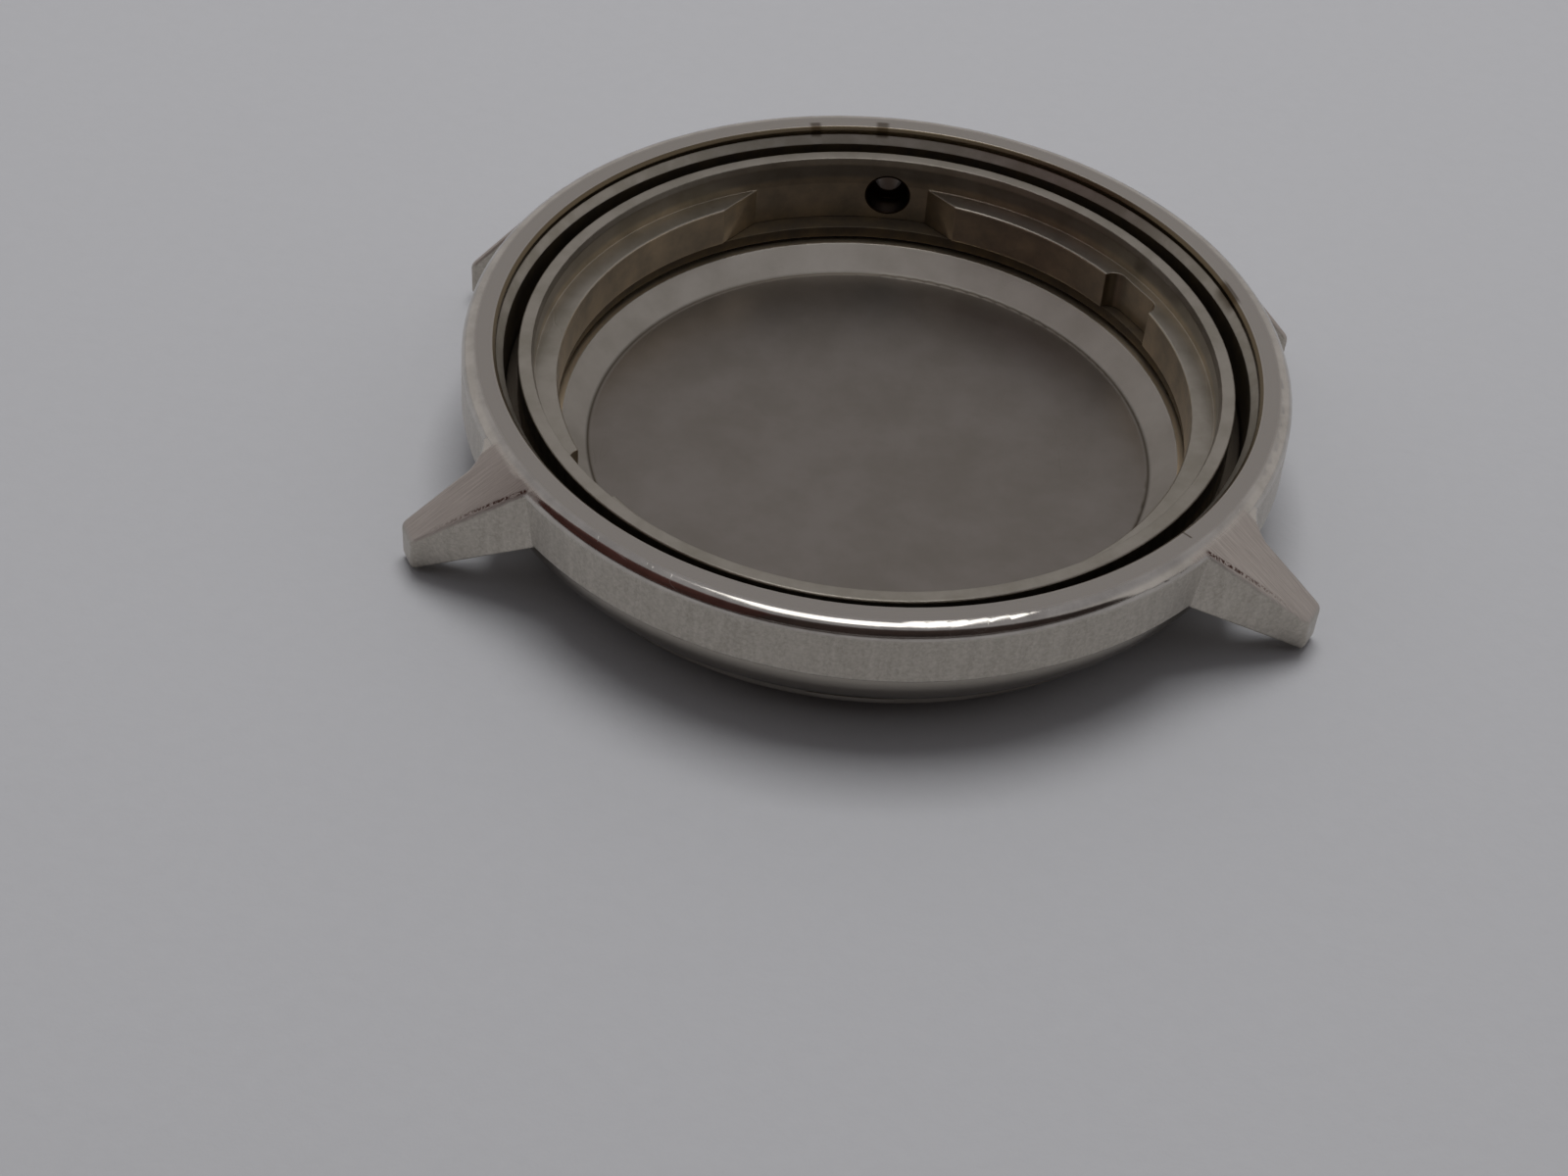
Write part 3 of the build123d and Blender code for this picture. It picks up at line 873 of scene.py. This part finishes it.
def make_card(name, corners, colour, shades_floor=False):
    card = make_flat_mesh(name, corners)
    material, tree = begin(name)
    mottle = noise(tree, Place(tree).point, 1.0 / CARD_MOTTLE)
    shade = blend_colour(tree, mottle, colour, CARD_SHADE)
    end_surface(tree, shade, CARD_ROUGHNESS, mottle, depth=0.1 * MM, metallic=0.0)
    card.data.materials.append(material)
    card.visible_camera = False
    card.visible_shadow = False
    card.visible_diffuse = shades_floor
    print("card:", name)


def upright(left, right, foot, top):
    """The corners of an upright card over the line from left to right."""
    return [(*left, foot), (*right, foot), (*right, top), (*left, top)]

# %% [markdown]
# The wall's height sets where the dark line begins under the crease, and its foot
# stays above the paper, so that no dark edge lies on the paper in other views.
# Seen low from behind, a thin pale line lies on the far paper in its place.

# %% Place the cards
WALL_Y = -0.17
WALL_REACH = 0.4
SHADE_SHEET_REACH = 0.2
SHADE_SHEET_NEAR_Y = -0.036
SHADE_SHEET_HEIGHT = 0.001

make_card("dark_room", upright((-WALL_REACH, WALL_Y), (WALL_REACH, WALL_Y), foot=0.008, top=0.24),
          ROOM_COLOUR, shades_floor=True)
make_card("warm_card", upright((-0.16, 0.0), (-0.06, -0.15), foot=0.005, top=0.20), WARM_COLOUR)
# A dark sheet stands in for the shade on the floor in front of the view.
make_card("shade_sheet", level(SHADE_SHEET_REACH, WALL_Y, SHADE_SHEET_NEAR_Y, SHADE_SHEET_HEIGHT), ROOM_COLOUR)

# %% [markdown]
# The room behind was a pale wall with a darker ceiling above it, and flat steel
# shows that: its far side is lighter than its near side. A picture of a room would
# do it, but a soft step in the world's colour, by how high a ray looks, is enough.

# %% World
PALE_WALL = screen(0.70, 0.69, 0.69)
DARKER_CEILING = screen(0.60, 0.595, 0.61)
CEILING_START, CEILING_FULL = 0.5, 0.85  # the rise of a ray of length 1


def make_world():
    world = bpy.data.worlds.new("room")
    world.use_nodes = True
    tree = world.node_tree
    tree.nodes.clear()
    looking = add(tree, "ShaderNodeTexCoord")
    height = add(tree, "ShaderNodeSeparateXYZ")
    feed(tree, height.inputs[0], looking.outputs["Generated"])
    above = rise(tree, height.outputs[2], CEILING_START, CEILING_FULL)
    room = add(tree, "ShaderNodeBackground")
    feed(tree, room.inputs["Color"], blend_colour(tree, above, PALE_WALL, DARKER_CEILING))
    room.inputs["Strength"].default_value = 1.0
    output = add(tree, "ShaderNodeOutputWorld")
    feed(tree, output.inputs["Surface"], room.outputs[0])
    print("world with", len(tree.nodes), "nodes")
    return world


bpy.context.scene.world = make_world()

# %% [markdown]
# The camera stands where the photograph's circles and lug corners say that it
# stood. Two angles and a distance could place it too, but they would leave out
# its small roll. So its three axes are given as unit vectors in the frame.

# %% Camera
CAMERA_PLACE = Vector((-0.001912, -0.08281, 0.07009))
CAMERA_RIGHT = Vector((0.99588, 0.06915, 0.05863))
CAMERA_UP = Vector((-0.09009, 0.68289, 0.72494))
CAMERA_BACK = -Vector((-0.01009, 0.72723, -0.68632))
FOCAL_PIXELS = 2600.0
IMAGE_WIDTH = 1600.0
SENSOR_WIDTH = 36.0
NEAREST_SEEN = 0.005

camera_data = bpy.data.cameras.new("camera")
camera_data.sensor_width = SENSOR_WIDTH
camera_data.lens = FOCAL_PIXELS / IMAGE_WIDTH * SENSOR_WIDTH
camera_data.clip_start = NEAREST_SEEN
camera = bpy.data.objects.new("camera", camera_data)
turn = Matrix((CAMERA_RIGHT, CAMERA_UP, CAMERA_BACK)).transposed()
camera.matrix_world = Matrix.Translation(CAMERA_PLACE) @ turn.to_4x4()
bpy.context.scene.collection.objects.link(camera)
bpy.context.scene.camera = camera
bpy.context.scene.view_settings.view_transform = "Standard"
print("lens in mm:", camera_data.lens)
